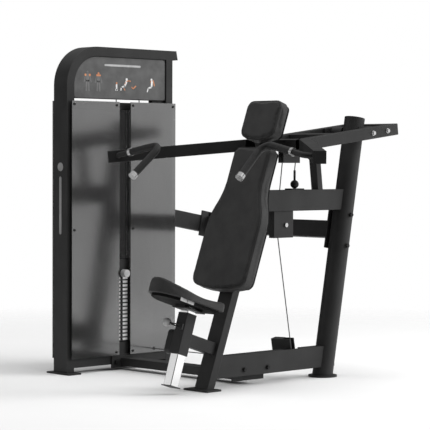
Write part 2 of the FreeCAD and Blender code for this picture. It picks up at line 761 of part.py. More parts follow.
def seat():
    sleeve_low = S.sleeve_top - S.sleeve_long
    side = square_to(seat_up)
    sleeve = square_tube(S.sleeve_wide, S.sleeve_wide, S.sleeve_wall, S.sleeve_long,
                         seat_point(0, sleeve_low), seat_up, side)
    arm = square_tube(S.sleeve_wide - 3, S.beam_wide, S.tube_wall, 190,
                      seat_point(S.sleeve_wide / 2, -88), seat_back, seat_up)
    node("seat_sleeve", fused([sleeve, cut(arm, [upright_shadow()])]))

    post_long = S.seat_board_low - S.seat_tube_low
    node("seat_post", square_tube(S.seat_tube, S.seat_tube, S.tube_wall, post_long,
                                  seat_point(0, S.seat_tube_low), seat_up, side, 4.0))
    foot = centred_box(62, 62, 4, seat_point(0, S.seat_tube_low - 2), seat_up, side)
    plate = centred_box(118, 96, 5, seat_point(0, 43), seat_up, side)
    hole = centred_box(S.seat_tube + 0.4, S.seat_tube + 0.4, 30, seat_point(0, 43), seat_up, side)
    webs = []
    for offset in (-56.5, 56.5):
        webs.append(centred_box(5, 60, 12, seat_point(offset, 48), seat_up, side))
    node("seat_bracket", group([fused([cut(plate, [hole])] + webs), foot]))

    board_low = num(S.seat_board_low)
    pad_low = board_low + num(S.seat_board_thick)
    board = seat_plan(18).extrude(seat_up * num(S.seat_board_thick))
    board.translate(seat_up * board_low)
    node("seat_board", shaped(board))

    front, rear = num(S.seat_front), num(S.seat_rear)
    wide = num(S.seat_half_wide) + 5
    corners = [(front - 5, pad_low), (rear + 5, pad_low), (rear + 5, pad_low + num(S.seat_tail)),
               ((front + rear) / 2, pad_low + num(S.seat_waist)), (front - 5, num(S.seat_nose))]
    low_front, low_rear, tail, waist, nose = [seat_point(x, z, -wide) for x, z in corners]
    profile = Part.Wire([Part.makeLine(low_front, low_rear), Part.makeLine(low_rear, tail),
                         Part.Arc(tail, waist, nose).toShape(), Part.makeLine(nose, low_front)])
    dished = Part.Face(profile).extrude(Y_AXIS * (2 * wide))
    prism = seat_plan(0).extrude(seat_up * 200)
    node("seat_pad", shaped(prism.common(dished)))


def seat_plan(inset):
    """Outline of the seat seen along its post: a blunt rounded nose and small rear corners."""
    front, rear = num(S.seat_front) + inset, num(S.seat_rear) - inset
    half = num(S.seat_half_wide) - inset
    full, blunt, small = front + 140, 0.62, 28
    corner = small * (1 - cos(radians(45)))
    left = [Vector(front, 0, 0), Vector(front + 38, -half * blunt, 0), Vector(full, -half, 0)]
    edges = []
    for side in (1, -1):
        tip, shoulder, widest = [seat_point(v.x, 0, v.y * side) for v in left]
        curve = Part.BSplineCurve()
        curve.interpolate([tip, shoulder, widest], InitialTangent=Y_AXIS * -side, FinalTangent=seat_back)
        end_side = seat_point(rear - small, 0, -half * side)
        end_rear = seat_point(rear, 0, -(half - small) * side)
        bend = seat_point(rear - corner, 0, -(half - corner) * side)
        round_rear = Part.Arc(end_side, bend, end_rear).toShape()
        edges += [curve.toShape(), Part.makeLine(widest, end_side), round_rear,
                  Part.makeLine(end_rear, seat_point(rear, 0))]
    return Part.Face(Part.Wire(Part.sortEdges(edges)[0]))


def seat_lever():
    """Latch housing on the sleeve's tower side, and the two-rod lever with its ball knob in front."""
    side = square_to(seat_up)
    half = num(S.sleeve_wide) / 2
    housing = centred_box(46, 42, 112, seat_point(-2, -108, half + 21), seat_up, side)
    rounded = doc.addObject("Part::Fillet", "housing")
    rounded.Base = housing
    doc.recompute()
    rounded.Edges = [(i, 20.0, 20.0) for i, edge in enumerate(housing.Shape.Edges, start=1)
                     if abs(edge.Length - 42) < 0.01]
    pivot_at = seat_point(-half, -42, -22)
    stud = rod(6, 20, pivot_at, side * -1)
    head = hexagon(13, 4, pivot_at - side * 17, side * -1)
    node("latch_cover", group([rounded, fused([stud, head])]))

    knob_at = seat_point(-half - 15, -29, 72)
    prongs = []
    for upward in (-35, -50):
        start = seat_point(-half - 9, upward, -22)
        reach = knob_at - start
        prongs.append(rod(6, reach.Length, start, reach.normalize()))
    plate = centred_box(10, 14, 26, seat_point(-half - 9, -42, -22), seat_up, side)
    bore = rod(6.1, 40, pivot_at, side * -1)
    node("seat_lever", cut(fused(prongs + [plate]), [bore]))
    knob = ball(38, knob_at)
    node("lever_knob", cut(knob, [copy_rod(item) for item in prongs]))


def copy_rod(item):
    """Same rod again, as a cutting tool."""
    again = doc.addObject("Part::Cylinder", "tool")
    again.Radius = item.Radius
    again.Height = item.Height
    again.Placement = item.Placement
    return again


# ---------------------------------------------------------------- upholstery

def arc_between(start, end, bulge):
    """Arc from start to end whose middle stands bulge beside the chord."""
    chord = end - start
    middle = (start + end) * 0.5 + Vector(chord.y, -chord.x, 0).normalize() * bulge
    return Part.Arc(start, middle, end).toShape()


def half_outline(low, high, half_low, half_high, taper_low, taper_high, corner_low, corner_high):
    """Right half of a pad's outline, from the bottom middle to the top middle, in (side, up)."""
    rise = (taper_high - taper_low) / 2
    step = half_low - half_high
    bow = step * 0.25 * 0.5
    turn = cos(radians(45))
    shift_low = corner_low * (1 - turn)
    shift_high = corner_high * (1 - turn)
    middle = Vector(half_low - step / 2, taper_low + rise, 0)
    bottom_corner = Vector(half_low - corner_low, low + 14, 0)
    edges = [
        Part.Arc(Vector(0, low, 0), Vector(bottom_corner.x / 2, low + 3, 0), bottom_corner).toShape(),
        Part.Arc(bottom_corner, Vector(half_low - shift_low, low + 14 + shift_low, 0),
                 Vector(half_low, low + 14 + corner_low, 0)).toShape(),
        Part.makeLine(Vector(half_low, low + 14 + corner_low, 0), Vector(half_low, taper_low, 0)),
    ]
    if step > 0:
        edges.append(arc_between(Vector(half_low, taper_low, 0), middle, bow))
        edges.append(arc_between(middle, Vector(half_high, taper_high, 0), -bow))
    edges += [
        Part.makeLine(Vector(half_high, taper_high, 0), Vector(half_high, high - corner_high, 0)),
        Part.Arc(Vector(half_high, high - corner_high, 0),
                 Vector(half_high - shift_high, high - shift_high, 0),
                 Vector(half_high - corner_high, high, 0)).toShape(),
        Part.makeLine(Vector(half_high - corner_high, high, 0), Vector(0, high, 0)),
    ]
    return edges


def pad_solid(edges, depth, thick, shrink=0.0):
    """Pad or board: the outline and its mirror image, drawn in the pads' plane."""
    half = Part.Wire(edges)
    other = half.mirror(Vector(), X_AXIS)
    wire = Part.Wire(Part.sortEdges(half.Edges + other.Edges)[0])
    if shrink:
        wire = wire.makeOffset2D(-shrink)
    face = Part.Face(wire)
    flat = Placement(pad_point(depth, 0), Rotation(Y_AXIS, pad_up, pad_back, "ZXY"))
    solid = face.extrude(Vector(0, 0, thick))
    solid.Placement = flat
    return solid


def upholstery():
    back = half_outline(num(S.back_low), num(S.back_high), num(S.back_half_low), num(S.back_half_high),
                        num(S.taper_low), num(S.taper_high), 48, 34)
    head = half_outline(num(S.head_low) - 6, num(S.head_high), num(S.head_half), num(S.head_half),
                        num(S.head_low) + 60, num(S.head_low) + 60, 38, 40)
    thick = num(S.pad_thick)
    node("back_pad", shaped(pad_solid(back, 0, thick)))
    node("head_pad", shaped(pad_solid(head, 0, thick)))
    boards = [shaped(pad_solid(edges, thick, num(S.board_thick), 12)) for edges in (back, head)]
    node("pad_boards", group(boards))
    behind = num(S.pad_thick + S.board_thick)
    bracket = box(10, 70, 280, pad_point(behind, 400, -35), pad_up, pad_back)
    node("head_bracket", cut(bracket, [upright_shadow_top()]))


def upright_shadow_top():
    """Solid of the upright itself, which ends below the head pad."""
    top = upright_front(num(S.upright_top)) + pad_back * (num(S.upright_thick) / 2)
    return centred_box(S.upright_thick + 2, S.upright_wide, 400, top - pad_up * 200, pad_up, pad_back)


# ---------------------------------------------------------------- press arm

def arm_frame():
    bars = []
    long = S.bar_rear - S.bar_front
    middle = num(S.bar_inner + S.bar_thick / 2)
    for side in (-1, 1):
        bars.append(square_tube(S.bar_high, S.bar_thick, S.tube_wall, long,
                                arm_point(S.bar_front, 0, side * middle), arm_back, arm_up))
    node("arm_bars", group(bars))

    tubes = []
    for x in (num(S.yoke_x), num(S.rest_x)):
        along = (x - pivot.x) / arm_back.x
        tubes.append(square_tube(S.yoke_tube, S.yoke_tube, S.tube_wall, 2 * S.bar_inner,
                                 arm_point(along, 0, -num(S.bar_inner)), Y_AXIS, arm_back))
    node("arm_cross_tubes", group(tubes))

    arms = []
    for side in (-1, 1):
        tip = Vector(num(S.tip_x), side * num(S.tip_y), num(S.tip_z))
        joint = Vector(num(S.joint_x), side * num(S.joint_y), num(S.joint_z))
        reach = joint - tip
        across = Vector(-reach.y, reach.x, 0).normalize()
        arm = square_tube(S.v_tube, S.v_tube, S.tube_wall, reach.Length, tip, reach.normalize(), across)
        bar_shadow = centred_box(700, S.bar_thick + 160, 200,
                                 arm_point(-250, 0, side * (middle - 80)), arm_up, arm_back)
        arms.append(cut(arm, [bar_shadow]))
    node("v_arms", group(arms + arm_tip_caps()))

    weight = centred_box(S.counterweight_long, 2 * S.bar_inner, S.bar_high,
                         arm_point(S.bar_rear - S.counterweight_long / 2 - 2, 0), arm_up, arm_back)
    node("counterweight", weight)


def pivot_hubs():
    """Turning sleeves on the fixed shaft, each welded to the flange that a bar bolts to."""
    hubs = []
    gap = num(S.post_wide) / 2 + 5
    flange = num(S.flange_thick)
    inner = num(S.bar_inner)
    for side in (-1, 1):
        out = Y_AXIS * side
        sleeve = rod(S.hub_wide, inner - gap, pivot + out * gap, out)
        plate = centred_box(134, flange, 52, pivot + out * (inner - flange / 2), arm_up, arm_back)
        bore = rod(S.shaft_wide + 2 * S.running_fit, inner + 20, pivot + out * (gap - 10), out)
        hubs.append(cut(fused([sleeve, plate]), [bore]))
    node("pivot_hubs", group(hubs))

    bolts = []
    outer = num(S.bar_inner + S.bar_thick)
    for side in (-1, 1):
        for along in (-num(S.bolt_offset), num(S.bolt_offset)):
            bolts.append(bolt(arm_point(along, 0, side * outer), Y_AXIS * side))
    node("arm_bolts", group(bolts))


def arm_tip_caps():
    caps = []
    for side in (-1, 1):
        tip = Vector(num(S.tip_x), side * num(S.tip_y), num(S.tip_z))
        joint = Vector(num(S.joint_x), side * num(S.joint_y), num(S.joint_z))
        reach = (joint - tip).normalize()
        across = Vector(-reach.y, reach.x, 0).normalize()
        caps.append(centred_box(S.v_tube, S.v_tube, 3, tip - reach * 1.5, reach, across))
    return caps


HANDLE_ROUTE = [Vector(134, 655, 1062), Vector(88, 600, 1068), Vector(122, 330, 1120),
                Vector(-36, 348, 982)]
HANDLE_BENDS = [30.0, 45.0]
COLLAR_AT = 70.0


def handles():
    """Handle tubes, rubber grips over their bent ends, and metal collars and end caps."""
    path, corners = route(HANDLE_ROUTE, HANDLE_BENDS)
    tube = swept(path, S.handle_tube)
    run = (HANDLE_ROUTE[2] - HANDLE_ROUTE[1]).normalize()
    collar = corners[0].end + run * COLLAR_AT
    grip_route = [collar, HANDLE_ROUTE[2], HANDLE_ROUTE[3]]
    grip_path, grip_corners = route(grip_route, [HANDLE_BENDS[1]])
    bore = swept(grip_path, S.handle_tube)
    grip = swept(grip_path, S.grip_wide).cut(bore)
    last = (HANDLE_ROUTE[3] - HANDLE_ROUTE[2]).normalize()

    def ring(start, direction, long, wide, hollow):
        solid = Part.makeCylinder(wide / 2, long, start, direction)
        if hollow:
            solid = solid.cut(Part.makeCylinder(num(S.handle_tube) / 2, long, start, direction))
        return solid

    tubes, grips, trims = [], [], []
    middle = num(S.bar_inner + S.bar_thick / 2)
    tip = Vector(num(S.tip_x), num(S.tip_y), num(S.tip_z))
    joint = Vector(num(S.joint_x), num(S.joint_y), num(S.joint_z))
    reach = (joint - tip).normalize()
    across = Vector(-reach.y, reach.x, 0).normalize()
    size = num(S.v_tube)
    arm_block = Part.makeBox(size, size, 900)
    arm_block.Placement = place(tip - across * (size / 2) - reach.cross(across) * (size / 2),
                                reach, across)
    tube = tube.cut(arm_block)
    rings = [ring(collar - run * 16, run, 16, num(S.grip_wide) + 4, True),
             ring(HANDLE_ROUTE[3], last, 22, num(S.grip_wide) + 4, False)]
    for flip in (True, False):
        tubes.append(shaped(mirrored(tube) if flip else tube))
        grips.append(shaped(mirrored(grip) if flip else grip))
        for part in rings:
            trims.append(shaped(mirrored(part) if flip else part))
    node("handle_tubes", group(tubes))
    node("hand_grips", group(grips))
    node("grip_collars", group(trims))


# ---------------------------------------------------------------- pulleys and cable

def pulley(label, centre, axis):
    half = S.pulley_thick / 2
    lip = 5.0
    floor_radius = S.pulley_pitch - S.cable_wide / 2 - 0.6
    bore = S.axle_wide / 2 + S.running_fit
    profile = [(bore, -half), (S.pulley_rim, -half), (S.pulley_rim, -half + 1.5),
               (floor_radius, -half + lip), (floor_radius, half - lip),
               (S.pulley_rim, half - 1.5), (S.pulley_rim, half), (bore, half)]
    return node(label, turned(profile, centre, axis))


def axle(centre, axis, reach):
    """Pulley bolt: shank between the cheeks with a hexagon at each end."""
    half = reach + num(S.cheek_thick)
    shank = rod(S.axle_wide, 2 * half, centre - axis * half, axis)
    head = hexagon(22, 8, centre + axis * half, axis)
    nut = hexagon(22, 8, centre - axis * half, axis * -1)
    return [shank, head, nut]


def cheeks(centre, axis, up, low, high, front, rear, gap=13.0):
    """Two flat plates either side of a pulley, sized about its centre."""
    across = up.cross(axis).normalize() * -1
    if across.x < 0:
        across = across * -1
    plates = []
    for side in (-1, 1):
        middle = (centre + axis * side * (gap + num(S.cheek_thick) / 2) +
                  up * ((high + low) / 2) + across * ((rear + front) / 2))
        plates.append(centred_box(rear - front, S.cheek_thick, high - low, middle, up, across))
    return plates


CHEEK_GAP = 13.0


def pulleys():
    pulley("deflector_pulley", deflector.centre, Y_AXIS)
    pulley("floor_pulley", floor_turn.centre, floor_turn.axis)
    pulley("base_pulley", base_turn.centre, base_turn.axis)
    pulley("top_pulley_rear", top_turn_rear.centre, top_turn_rear.axis)
    pulley("top_pulley_front", top_turn_front.centre, top_turn_front.axis)
    arm_centre = Vector(num(S.arm_pulley_x), 0, num(S.arm_pulley_z))
    pulley("arm_pulley", arm_centre, Y_AXIS)

    beam_low = num(S.upper_beam_low)
    centre = deflector.centre
    plates = cheeks(centre, Y_AXIS, Z_AXIS, -60, beam_low - centre.z, 519 - centre.x, 52)
    web = box(4, 2 * CHEEK_GAP + 8, beam_low - centre.z + 60,
              (515, -CHEEK_GAP - 4, centre.z - 60))
    brackets = [fused(plates + [web] + axle(centre, Y_AXIS, CHEEK_GAP))]

    centre, axis = floor_turn.centre, floor_turn.axis
    up = axis.cross(Y_AXIS).normalize()
    if up.z < 0:
        up = up * -1
    guard = []
    for side in (-1, 1):
        middle = centre + axis * side * (CHEEK_GAP + 2) + up * 12
        guard.append(centred_box(S.cheek_thick, 112, 122, middle, up, axis))
    roof = centred_box(2 * CHEEK_GAP + 8, 60, 4, centre + up * 71 + Y_AXIS * 26, up, axis)
    node("floor_pulley_guard", fused(guard + [roof] + axle(centre, axis, CHEEK_GAP)))

    centre, axis = base_turn.centre, base_turn.axis
    low = beam_top - centre.z
    plates = []
    for side in (-1, 1):
        middle = centre + axis * side * (CHEEK_GAP + 2) + Z_AXIS * ((low + 20) / 2)
        plates.append(centred_box(S.cheek_thick, 60, 20 - low, middle, Z_AXIS, axis))
    brackets.append(fused(plates + axle(centre, axis, CHEEK_GAP)))

    first, second = top_turn_rear, top_turn_front
    middle = (first.centre + second.centre) * 0.5
    axis = first.axis
    top = num(S.tower_height) - num(S.column_wide)
    high = top - middle.z + 24
    plates = []
    for side in (-1, 1):
        place_at = middle + axis * side * (CHEEK_GAP + 2) + Z_AXIS * (high / 2 - 24)
        plates.append(centred_box(S.cheek_thick, 126, high, place_at, Z_AXIS, axis))
    pieces = plates + axle(first.centre, axis, CHEEK_GAP) + axle(second.centre, axis, CHEEK_GAP)
    brackets.append(fused(pieces))
    node("pulley_brackets", group(brackets))

    plates = cheeks(arm_centre, Y_AXIS, Z_AXIS, -56, 44, -62, 52)
    yoke_shadow = arm_point((num(S.yoke_x) - pivot.x) / arm_back.x, 0)
    clear = centred_box(S.yoke_tube, 400, S.yoke_tube, yoke_shadow, arm_up, arm_back)
    bracket = cut(fused(plates), [clear])
    node("arm_pulley_bracket", fused([bracket] + axle(arm_centre, Y_AXIS, CHEEK_GAP)))


def cables():
    wide = S.cable_wide
    fixed = cable_points
    start = deflector.start
    end = top_turn_front.end
    long_wire, unused = route([start] + fixed[1:6] + [end], [num(S.pulley_pitch)] * 5)
    node("cable_main", shaped(swept(long_wire, wide)))
    node("cable_stack_run", rod(wide, (end - fixed[6]).Length, fixed[6], Z_AXIS))
    front_top = fixed[0]
    reach = front_top - start
    node("cable_front_run", rod(wide, reach.Length - 0.3, start, reach.normalize()))

    arm_centre = Vector(num(S.arm_pulley_x), 0, num(S.arm_pulley_z))
    rear_top = arm_centre + X_AXIS * num(S.pulley_pitch)
    over = Part.Arc(front_top, arm_centre + Z_AXIS * num(S.pulley_pitch), rear_top).toShape()
    node("cable_arm_turn", shaped(swept(Part.Wire([over]), wide)))

    beam_high = num(S.upper_beam_low + S.upper_beam_high)
    foot = Vector(rear_top.x - 12, 0, beam_high)
    link_low = foot + Z_AXIS * 44
    link_high = foot + Z_AXIS * 92
    reach = rear_top - link_high
    node("cable_anchor_run", rod(wide, reach.Length - 0.3, link_high, reach.normalize()))
    plate = centred_box(88, 44, 6, foot + Z_AXIS * 3)
    stem = rod(14, 20, foot + Z_AXIS * 5, Z_AXIS)
    socket = ball(40, foot + Z_AXIS * 26)
    sleeve = rod(11, 48, link_low, (link_high - link_low).normalize())
    node("cable_anchor", fused([plate, stem, socket, sleeve]))


# ---------------------------------------------------------------- build and export

tower()
placards()
shrouds()
stack_rubbers = weight_stack()
frame_tubes()
foot_plates()
tube_caps()
cross_beams()
frame_bolts()
arm_rest(stack_rubbers)
seat()
seat_lever()
upholstery()
arm_frame()
pivot_hubs()
handles()
pulleys()
cables()
doc.recompute()

for item in doc.Objects:
    if "Invalid" in item.State or "Error" in item.State:
        raise RuntimeError("%s did not recompute" % item.Label)
to_toe = Placement(X_AXIS * -num(S.upright_toe_x), Rotation())
for item in nodes:
    item.Placement = to_toe.multiply(item.Placement)
    if item.Shape.isNull() or not item.Shape.isValid():
        raise RuntimeError("%s has no valid shape" % item.Label)
    item.Shape.exportStep("parts/%s.step" % item.Label)
print("%d sub-parts" % len(nodes))
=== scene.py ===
import json
from math import atan2, cos, pi, radians, sin

import bmesh
import bpy
from mathutils import Matrix, Vector
from mathutils.bvhtree import BVHTree

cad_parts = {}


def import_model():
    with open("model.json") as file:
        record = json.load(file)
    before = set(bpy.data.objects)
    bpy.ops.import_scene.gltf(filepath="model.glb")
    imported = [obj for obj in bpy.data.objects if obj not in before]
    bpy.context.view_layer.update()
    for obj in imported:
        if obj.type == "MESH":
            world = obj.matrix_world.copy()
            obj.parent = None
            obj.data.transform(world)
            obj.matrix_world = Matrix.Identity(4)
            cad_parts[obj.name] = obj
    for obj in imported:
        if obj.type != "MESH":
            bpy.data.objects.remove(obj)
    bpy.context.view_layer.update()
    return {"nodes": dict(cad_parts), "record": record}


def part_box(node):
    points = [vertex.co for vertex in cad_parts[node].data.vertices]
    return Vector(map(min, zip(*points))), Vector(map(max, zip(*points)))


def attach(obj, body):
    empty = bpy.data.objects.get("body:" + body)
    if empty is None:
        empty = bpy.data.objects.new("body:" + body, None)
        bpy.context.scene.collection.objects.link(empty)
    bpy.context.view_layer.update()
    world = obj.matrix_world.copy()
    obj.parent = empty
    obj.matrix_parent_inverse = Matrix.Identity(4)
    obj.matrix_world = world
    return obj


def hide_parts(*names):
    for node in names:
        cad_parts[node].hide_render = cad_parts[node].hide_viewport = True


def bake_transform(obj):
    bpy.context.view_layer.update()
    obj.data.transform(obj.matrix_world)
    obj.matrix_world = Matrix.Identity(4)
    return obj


# Shoulder press machine: materials, upholstery, printed placards, lights and camera.
# Metres, +Z up, the user sits facing -X and the weight tower stands towards +Y. The origin is
# on the floor under the toe of the main upright.

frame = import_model()
NODES = frame["nodes"]
SLOT_OF = {part["node"]: part["material_slot"] for part in frame["record"]["subparts"]}
JOINTS = {joint["name"]: joint for joint in frame["record"]["behaviour"]["joints"]}
SCENE = bpy.context.scene
MM = 0.001


# ---------------------------------------------------------------- materials

class Shader:
    """A Principled material with helpers for the nodes that feed it."""

    def __init__(self, name, color, roughness, metallic=0.0, specular=0.5):
        self.material = bpy.data.materials.new(name)
        self.material.use_nodes = True
        self.tree = self.material.node_tree
        self.principled = self.tree.nodes["Principled BSDF"]
        self.set("Base Color", (*color, 1.0))
        self.set("Roughness", roughness)
        self.set("Metallic", metallic)
        self.set("Specular IOR Level", specular)
        self.place = self.add("ShaderNodeTexCoord").outputs["Object"]
        self.height = None

    def set(self, socket, value):
        self.principled.inputs[socket].default_value = value

    def add(self, kind, **inputs):
        node = self.tree.nodes.new(kind)
        for name, value in inputs.items():
            node.inputs[name.replace("_", " ")].default_value = value
        return node

    def link(self, output, socket):
        self.tree.links.new(output, socket)

    def noise(self, scale, detail=2.0, stretch=None):
        texture = self.add("ShaderNodeTexNoise", Scale=scale, Detail=detail)
        place = self.place
        if stretch:
            mapping = self.add("ShaderNodeMapping")
            mapping.inputs["Scale"].default_value = stretch
            self.link(place, mapping.inputs["Vector"])
            place = mapping.outputs["Vector"]
        self.link(place, texture.inputs["Vector"])
        return texture.outputs["Fac"]

    def ramp(self, factor, low, high, start=0.3, end=0.7):
        """Number that goes from low to high as factor goes from start to end."""
        change = self.add("ShaderNodeMapRange")
        self.link(factor, change.inputs["Value"])
        limits = {"From Min": start, "From Max": end, "To Min": low, "To Max": high}
        for name, value in limits.items():
            change.inputs[name].default_value = value
        return change.outputs["Result"]

    def tint(self, factor, low, high, start=0.35, end=0.65):
        """Base colour that varies between two close tones."""
        colors = self.add("ShaderNodeValToRGB")
        colors.color_ramp.elements[0].position = start
        colors.color_ramp.elements[1].position = end
        colors.color_ramp.elements[0].color = (*low, 1.0)
        colors.color_ramp.elements[1].color = (*high, 1.0)
        self.link(factor, colors.inputs["Fac"])
        self.link(colors.outputs["Color"], self.principled.inputs["Base Color"])

    def rough(self, factor, low, high, start=0.3, end=0.7):
        self.link(self.ramp(factor, low, high, start, end), self.principled.inputs["Roughness"])

    def bump(self, factor, strength, distance):
        bump = self.add("ShaderNodeBump", Strength=strength, Distance=distance)
        self.link(factor, bump.inputs["Height"])
        if self.height:
            self.link(self.height, bump.inputs["Normal"])
        self.height = bump.outputs["Normal"]
        self.link(self.height, self.principled.inputs["Normal"])


def grey(value, warmth=0.0):
    """Neutral colour, turned towards red by the share warmth."""
    return (value * (1 + warmth), value, value * (1 - warmth))


def painted(name, tone, low, high, specular=0.35):
    """Satin powder coat with a fine orange-peel surface."""
    shader = Shader(name, grey(tone), (low + high) / 2, specular=specular)
    shader.tint(shader.noise(7.0, 4.0), grey(tone * 0.88), grey(tone * 1.12))
    shader.rough(shader.noise(11.0, 3.0), low, high)
    shader.bump(shader.noise(900.0, 1.0), 0.10, 0.0004)
    return shader.material


def plastic(name, tone, low, high, specular=0.4):
    """Moulded or printed plastic with a faint texture."""
    shader = Shader(name, grey(tone), (low + high) / 2, specular=specular)
    shader.tint(shader.noise(18.0, 3.0), grey(tone * 0.85), grey(tone * 1.15))
    shader.rough(shader.noise(30.0, 2.0), low, high)
    shader.bump(shader.noise(600.0, 1.0), 0.08, 0.0003)
    return shader.material


def metal(name, tone, low, high, stretch=None):
    """Bare metal. With stretch it is brushed along the stretched axis."""
    shader = Shader(name, grey(tone), (low + high) / 2, metallic=1.0)
    shader.tint(shader.noise(9.0, 3.0), grey(tone * 0.93), grey(tone))
    shader.rough(shader.noise(60.0, 3.0, stretch), low, high)
    if stretch:
        shader.bump(shader.noise(300.0, 2.0, stretch), 0.06, 0.0002)
    return shader.material


def leather(name):
    """Black grained upholstery."""
    shader = Shader(name, grey(0.027), 0.5, specular=0.28)
    shader.tint(shader.noise(14.0, 4.0), grey(0.024), grey(0.032, 0.01))
    shader.rough(shader.noise(26.0, 3.0), 0.42, 0.56)
    cells = shader.add("ShaderNodeTexVoronoi", Scale=420.0)
    cells.feature = "DISTANCE_TO_EDGE"
    shader.link(shader.place, cells.inputs["Vector"])
    shader.bump(shader.ramp(cells.outputs["Distance"], 0.0, 1.0, 0.0, 0.12), 0.35, 0.0005)
    shader.bump(shader.noise(55.0, 3.0), 0.25, 0.0012)
    shader.set("Sheen Weight", 0.04)
    return shader.material


def rubber(name, tone):
    """Matt moulded rubber."""
    shader = Shader(name, grey(tone), 0.7, specular=0.3)
    shader.tint(shader.noise(40.0, 3.0), grey(tone * 0.85), grey(tone * 1.2))
    shader.rough(shader.noise(50.0, 2.0), 0.38, 0.55)
    shader.bump(shader.noise(1100.0, 2.0), 0.35, 0.0004)
    return shader.material


def smoked(name):
    """Smoked acrylic cover: dark and glossy, with soft reflections."""
    shader = Shader(name, grey(0.16), 0.14, metallic=0.85, specular=0.6)
    shader.tint(shader.noise(3.0, 3.0), grey(0.17), grey(0.19))
    shader.rough(shader.noise(5.0, 2.0), 0.11, 0.15)
    shader.set("Alpha", 0.86)
    shader.bump(shader.noise(14.0, 2.0), 0.03, 0.002)
    shader.set("Coat Weight", 0.25)
    shader.set("Coat Roughness", 0.1)
    return shader.material


def cable_jacket(name):
    """Nylon-coated steel rope: the strands show as slanted ridges."""
    shader = Shader(name, grey(0.05), 0.35, specular=0.5)
    wave = shader.add("ShaderNodeTexWave", Scale=260.0, Distortion=0.6)
    wave.bands_direction = "DIAGONAL"
    shader.link(shader.place, wave.inputs["Vector"])
    shader.tint(wave.outputs["Fac"], grey(0.035), grey(0.09))
    shader.bump(wave.outputs["Fac"], 0.3, 0.0004)
    return shader.material


MATERIALS = {
    "black_paint": painted("black_paint", 0.024, 0.40, 0.50, 0.20),
    "black_plastic": plastic("black_plastic", 0.010, 0.42, 0.55, 0.25),
    "pulley_nylon": plastic("pulley_nylon", 0.012, 0.35, 0.5, 0.3),
    "placard_print": plastic("placard_print", 0.085, 0.45, 0.52, 0.25),
    "smoked_panel": smoked("smoked_panel"),
    "chrome": metal("chrome", 0.95, 0.10, 0.16),
    "cast_plate": painted("cast_plate", 0.022, 0.42, 0.55),
    "zinc_steel": metal("zinc_steel", 0.62, 0.25, 0.38, (1.0, 1.0, 6.0)),
    "satin_aluminium": metal("satin_aluminium", 0.55, 0.22, 0.32, (1.0, 6.0, 1.0)),
    "grip_rubber": rubber("grip_rubber", 0.016),
    "upholstery": leather("upholstery"),
    "plywood": painted("plywood", 0.007, 0.6, 0.75, 0.1),
    "cable_jacket": cable_jacket("cable_jacket"),
    "knob_grey": plastic("knob_grey", 0.42, 0.3, 0.4),
}
PRINT_WHITE = plastic("print_white", 0.62, 0.4, 0.5)
PRINT_LIGHT = plastic("print_light", 0.36, 0.4, 0.5)
PRINT_GREY = plastic("print_grey", 0.12, 0.4, 0.5)
MARK_GREY = plastic("mark_grey", 0.30, 0.4, 0.5)


def orange_print():
    """Muted orange ink."""
    shader = Shader("print_orange", (0.48, 0.19, 0.09), 0.45)
    shader.tint(shader.noise(30.0, 2.0), (0.44, 0.17, 0.08), (0.52, 0.22, 0.10))
    shader.rough(shader.noise(30.0, 2.0), 0.4, 0.5)
    return shader.material


PRINT_ORANGE = orange_print()

for node_name, item in NODES.items():
    finish = MATERIALS[SLOT_OF[node_name]]
    if not item.material_slots:
        item.data.materials.append(finish)
    for place in item.material_slots:
        place.material = finish


AXLE_HEAD_RADIUS = 0.0130  # a bolt head's faces lie within this of the pulley's axis
CHEEK_OUTSIDE = 0.0173  # and further than this from the pulley's middle


def bright_axle_ends(node, joint_name):
    """Zinc finish on the bolt heads that stand outside a pulley's cheeks."""
    item = NODES[node]
    item.data.materials.append(MATERIALS["zinc_steel"])
    joint = JOINTS[joint_name]
    middle, axis = Vector(joint["pos_m"]), Vector(joint["axis"]).normalized()
    for face in item.data.polygons:
        offset = item.matrix_world @ face.center - middle
        along = offset.dot(axis)
        out = (offset - axis * along).length
        if out < AXLE_HEAD_RADIUS and abs(along) > CHEEK_OUTSIDE:
            face.material_index = 1


bright_axle_ends("pulley_brackets", "deflector_pulley_turn")
bright_axle_ends("arm_pulley_bracket", "arm_pulley_turn")


# ---------------------------------------------------------------- mesh helpers

def new_object(name, mesh, material, body):
    """Object that rides on a body, with the given material."""
    item = bpy.data.objects.new(name, mesh)
    SCENE.collection.objects.link(item)
    mesh.materials.append(material)
    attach(item, body)
    return item


def from_bmesh(name, bm, material, body, smooth=False):
    """Object made from a bmesh, which is freed."""
    mesh = bpy.data.meshes.new(name)
    bmesh.ops.recalc_face_normals(bm, faces=bm.faces)
    bm.to_mesh(mesh)
    bm.free()
    for face in mesh.polygons:
        face.use_smooth = smooth
    return new_object(name, mesh, material, body)


# ---------------------------------------------------------------- upholstery

VOXEL = 0.005  # cell of the cover's even mesh
SWELL_OUT = 0.0045  # furthest that cloth pressure may move the cover outwards
SWELL_IN = 0.0012  # and inwards
START_SHRINK = 0.0028  # room left for the cover to swell within the CAD pad's size
SHRINK_SHARE = 0.6  # share of the pad's reach at which the whole of that shrink acts
FRONT_ZONE = 0.02  # the front panel lies further than this from the pad's back
HELD_ZONE = 0.006  # the cover is stapled to its board within this of the back
BOARD_CLEARANCE = 0.0002  # between the cover and the board
OUTLINE_STEP = 0.006  # spacing of the points along a pad's outline
SEAM_INSET = 0.009  # seam line from the pad's outline
SEAM_LIFT = 0.0006  # piping's middle above the cover
SEAM_WIDE = 0.012  # half the width of the dip along the seam
SEAM_DEEP = 0.0026
PIPING_RADIUS = 0.0019
CLOTH_FRAMES = 20
SMOOTHING_PASSES = 6


